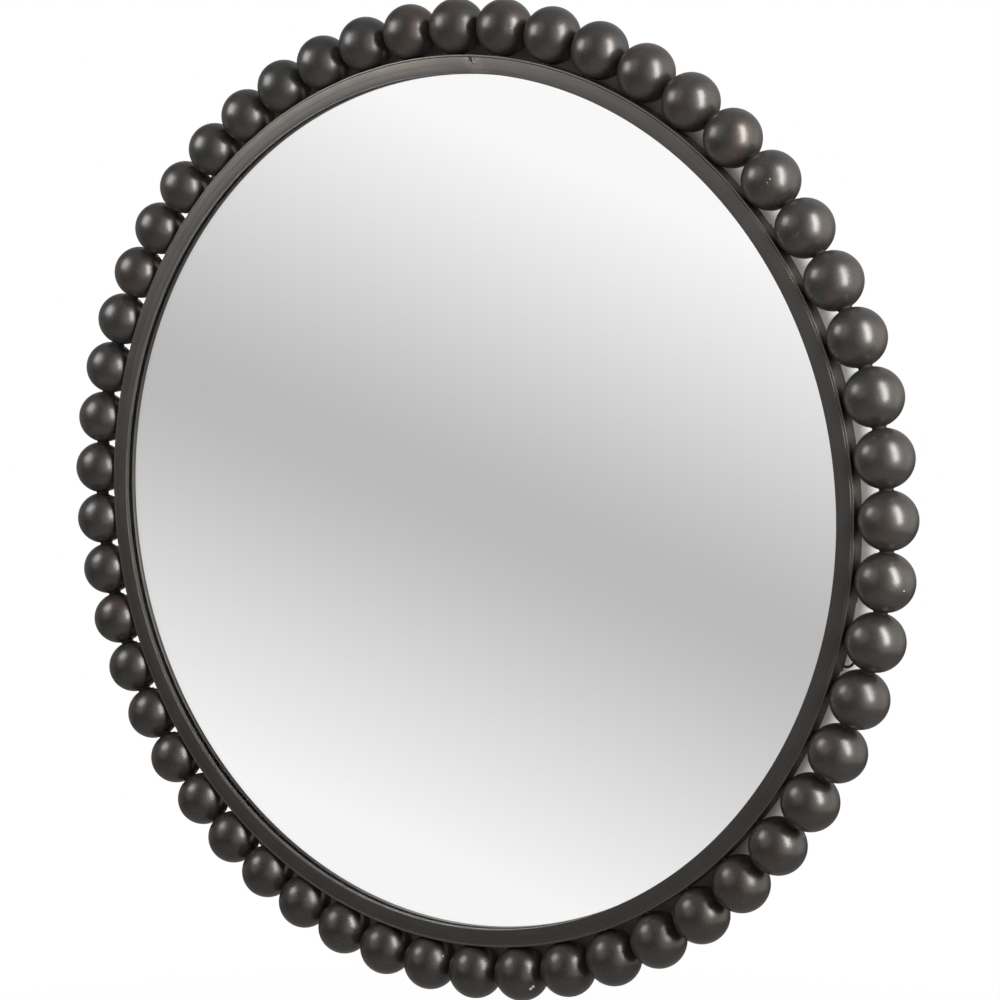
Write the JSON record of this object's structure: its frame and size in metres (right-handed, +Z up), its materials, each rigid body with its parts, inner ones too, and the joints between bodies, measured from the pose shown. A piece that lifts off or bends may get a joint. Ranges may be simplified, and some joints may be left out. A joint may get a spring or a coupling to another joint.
{
  "type": "round wall mirror with ball rim",
  "caption": "Round wall mirror: flat silvered glass in a dark steel hoop ringed by touching hollow steel balls, with swivelling D-ring hangers behind.",
  "frame": {"origin": "on the mirror's axis, in the plane of the wall, where the backs of the balls touch it; the backing board lies 20.4 mm in front of that plane", "axes": "+Y out of the back towards the wall, so the glass looks along -Y; +Z up the wall; +X to the viewer's right"},
  "size_m": [0.913, 0.0508, 0.9128],
  "materials": {
    "blackened_steel": "burnished dark gunmetal, clear satin lacquer",
    "frame_steel": "blackened bar, drawn lines along it, satin lacquer",
    "silvered_glass": "clear flat float glass, silvered behind",
    "felt": "thin grey felt strip",
    "hardboard": "brown hardboard, smooth side out",
    "zinc": "bright zinc plate"
  },
  "bodies": {
    "mirror": {"balls_01": "blackened_steel", "balls_02": "blackened_steel", "balls_03": "blackened_steel", "balls_04": "blackened_steel", "balls_05": "blackened_steel", "balls_06": "blackened_steel", "balls_07": "blackened_steel", "balls_08": "blackened_steel", "balls_09": "blackened_steel", "balls_10": "blackened_steel", "balls_11": "blackened_steel", "balls_12": "blackened_steel", "balls_13": "blackened_steel", "balls_14": "blackened_steel", "balls_15": "blackened_steel", "balls_16": "blackened_steel", "balls_17": "blackened_steel", "balls_18": "blackened_steel", "hoop": "frame_steel", "face_ring": "frame_steel", "mirror_glass": "silvered_glass", "felt_ring": "felt", "backing_board": "hardboard", "board_lug_1": "frame_steel", "board_lug_2": "frame_steel", "board_lug_3": "frame_steel", "board_lug_4": "frame_steel", "board_lug_5": "frame_steel", "board_lug_6": "frame_steel", "board_lug_7": "frame_steel", "board_lug_8": "frame_steel", "board_screw_1": "zinc", "board_screw_2": "zinc", "board_screw_3": "zinc", "board_screw_4": "zinc", "board_screw_5": "zinc", "board_screw_6": "zinc", "board_screw_7": "zinc", "board_screw_8": "zinc", "hanger_plate_upper_right": "frame_steel", "hanger_plate_upper_left": "frame_steel", "hanger_plate_lower_right": "frame_steel", "hanger_plate_lower_left": "frame_steel", "hanger_screw_upper_right": "zinc", "hanger_screw_upper_left": "zinc", "hanger_screw_lower_right": "zinc", "hanger_screw_lower_left": "zinc", "hanger_strap_upper_right": "zinc", "hanger_strap_upper_left": "zinc", "hanger_strap_lower_right": "zinc", "hanger_strap_lower_left": "zinc"},
    "d_ring_upper_right": {"hanger_ring_upper_right": "zinc"},
    "d_ring_upper_left": {"hanger_ring_upper_left": "zinc"},
    "d_ring_lower_right": {"hanger_ring_lower_right": "zinc"},
    "d_ring_lower_left": {"hanger_ring_lower_left": "zinc"}
  },
  "joints": [
    {"name": "d_ring_upper_right_hinge", "type": "hinge", "parent": "mirror", "child": "d_ring_upper_right", "pos_m": [0.3535, -0.0126, 0.11678], "axis": [0.3137, 0, -0.9495], "range_deg": [-20, 150]},
    {"name": "d_ring_upper_left_hinge", "type": "hinge", "parent": "mirror", "child": "d_ring_upper_left", "pos_m": [-0.35185, -0.0126, 0.12168], "axis": [0.3268, 0, 0.9451], "range_deg": [-20, 150]},
    {"name": "d_ring_lower_right_hinge", "type": "hinge", "parent": "mirror", "child": "d_ring_lower_right", "pos_m": [0.38539, -0.0126, -0.10819], "axis": [0.2703, 0, 0.9628], "range_deg": [-20, 150]},
    {"name": "d_ring_lower_left_hinge", "type": "hinge", "parent": "mirror", "child": "d_ring_lower_left", "pos_m": [-0.38686, -0.0126, -0.10283], "axis": [0.2569, 0, -0.9664], "range_deg": [-20, 150]}
  ]
}
